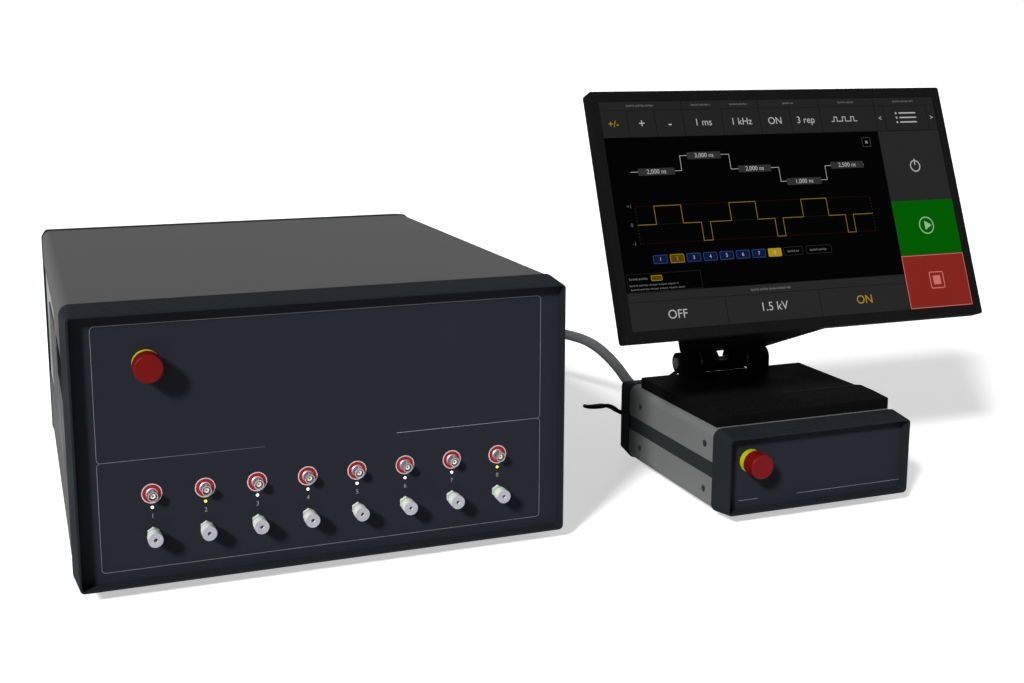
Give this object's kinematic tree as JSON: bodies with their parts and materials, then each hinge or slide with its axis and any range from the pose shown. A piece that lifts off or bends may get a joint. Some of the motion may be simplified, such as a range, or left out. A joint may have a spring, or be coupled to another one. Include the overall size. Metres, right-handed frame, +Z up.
{
  "type": "electroporator",
  "caption": "Bench electroporator: a wide multichannel pulse generator linked by cable to a small control unit that carries a tilting touch display.",
  "frame": {"origin": "on the table below the middle of the whole set, without the free cords", "axes": "+X to the right along the fronts, +Y to the back, +Z up"},
  "size_m": [1.0256, 0.7797, 0.4679],
  "materials": {
    "bezel_plastic": "satin moulded",
    "panel_paint": "fine matt powder coat",
    "cover_paint": "fine textured powder coat",
    "control_cover_paint": "fine textured powder coat",
    "side_panel_paint": "fine textured powder coat",
    "chassis_paint": "matt black",
    "grip_plastic": "moulded",
    "foot_rubber": "matt",
    "ring_print": "printed",
    "nickel": "nickel plated",
    "insulator": "smooth",
    "gold_contact": "plated",
    "lamp_white": "clear lens",
    "lamp_yellow": "clear lens",
    "socket_plastic": "moulded",
    "socket_green": "moulded",
    "stop_yellow": "moulded",
    "stop_red": "moulded",
    "stop_inner": "moulded",
    "circuit_board": "solder mask",
    "capacitor_sleeve": "shrink sleeve",
    "module_metal": "brushed",
    "supply_metal": "plated",
    "fan_plastic": "moulded",
    "inlet_plastic": "moulded",
    "gland_plastic": "moulded",
    "rail_anodised": "dark anodised",
    "screw_steel": "plated",
    "cable_jacket": "smooth jacket",
    "lead_jacket": "smooth jacket",
    "plug_plastic": "moulded",
    "stand_plastic": "moulded",
    "hinge_steel": "turned",
    "display_plastic": "moulded",
    "screen_glass": "polished"
  },
  "bodies": {
    "cases": {"cable_glands": "gland_plastic", "channel_lamps": "lamp_white", "channel_rings": "ring_print", "control_board": "circuit_board", "control_bottom_cover": "control_cover_paint", "control_feet": "foot_rubber", "control_front_bezel": "bezel_plastic", "control_front_panel": "panel_paint", "control_rear_bezel": "bezel_plastic", "control_rear_panel": "panel_paint", "control_side_rails": "rail_anodised", "control_side_screws": "screw_steel", "control_stop_collar": "stop_yellow", "control_stop_contact_block": "stop_inner", "control_top_cover": "control_cover_paint", "controller_board": "circuit_board", "display_lead": "lead_jacket", "display_lead_plug": "plug_plastic", "fan_housing": "fan_plastic", "friction_washers": "hinge_steel", "generator_bottom_cover": "cover_paint", "generator_chassis": "chassis_paint", "generator_feet": "foot_rubber", "generator_front_bezel": "bezel_plastic", "generator_front_panel": "panel_paint", "generator_rear_bezel": "bezel_plastic", "generator_rear_panel": "panel_paint", "generator_side_grips": "grip_plastic", "generator_side_panels": "side_panel_paint", "generator_stop_collar": "stop_yellow", "generator_stop_contact_block": "stop_inner", "generator_top_cover": "cover_paint", "high_voltage_supply": "module_metal", "hinge_pin": "hinge_steel", "jack_bodies": "nickel", "jack_contacts": "gold_contact", "jack_insulators": "insulator", "jack_nuts": "nickel", "link_cable": "cable_jacket", "mains_inlet": "inlet_plastic", "output_socket_bodies": "socket_plastic", "output_socket_contacts": "gold_contact", "output_socket_nuts": "socket_plastic", "output_socket_rings": "socket_green", "power_supply": "supply_metal", "pulse_boards": "circuit_board", "selected_lamps": "lamp_yellow", "stand_base": "stand_plastic", "storage_capacitors": "capacitor_sleeve"},
    "display": {"neck": "stand_plastic", "display_front_frame": "display_plastic", "display_screen": "screen_glass", "display_rear_housing": "display_plastic", "display_board": "circuit_board"},
    "generator_stop_stem": {"generator_stop_plunger": "stop_inner"},
    "generator_stop_knob": {"generator_stop_head": "stop_red"},
    "control_stop_stem": {"control_stop_plunger": "stop_inner"},
    "control_stop_knob": {"control_stop_head": "stop_red"},
    "fan": {"fan_rotor": "fan_plastic"},
    "rocker": {"power_rocker": "inlet_plastic"}
  },
  "joints": [
    {"name": "display_tilt", "type": "hinge", "parent": "cases", "child": "display", "pos_m": [0.28097, -0.0904, 0.1291], "axis": [1, 0, 0], "range_deg": [-30, 15]},
    {"name": "generator_stop_press", "type": "slide", "parent": "cases", "child": "generator_stop_stem", "axis": [0, 1, 0], "range_m": [0, 0.0045]},
    {"name": "generator_stop_twist", "type": "hinge", "parent": "generator_stop_stem", "child": "generator_stop_knob", "pos_m": [-0.43852, -0.2684, 0.2265], "axis": [0, 1, 0], "range_deg": [0, 45], "stiffness_Nm_per_rad": 0.05},
    {"name": "control_stop_press", "type": "slide", "parent": "cases", "child": "control_stop_stem", "axis": [0, 1, 0], "range_m": [0, 0.0045]},
    {"name": "control_stop_twist", "type": "hinge", "parent": "control_stop_stem", "child": "control_stop_knob", "pos_m": [0.19708, -0.2976, 0.0697], "axis": [0, 1, 0], "range_deg": [0, 45], "stiffness_Nm_per_rad": 0.05},
    {"name": "fan_spin", "type": "hinge", "parent": "cases", "child": "fan", "pos_m": [-0.14353, 0.3081, 0.1751], "axis": [0, 1, 0], "continuous": true},
    {"name": "power_rocker_tip", "type": "hinge", "parent": "cases", "child": "rocker", "pos_m": [-0.42852, 0.3091, 0.1021], "axis": [1, 0, 0], "range_deg": [-8, 8]}
  ]
}
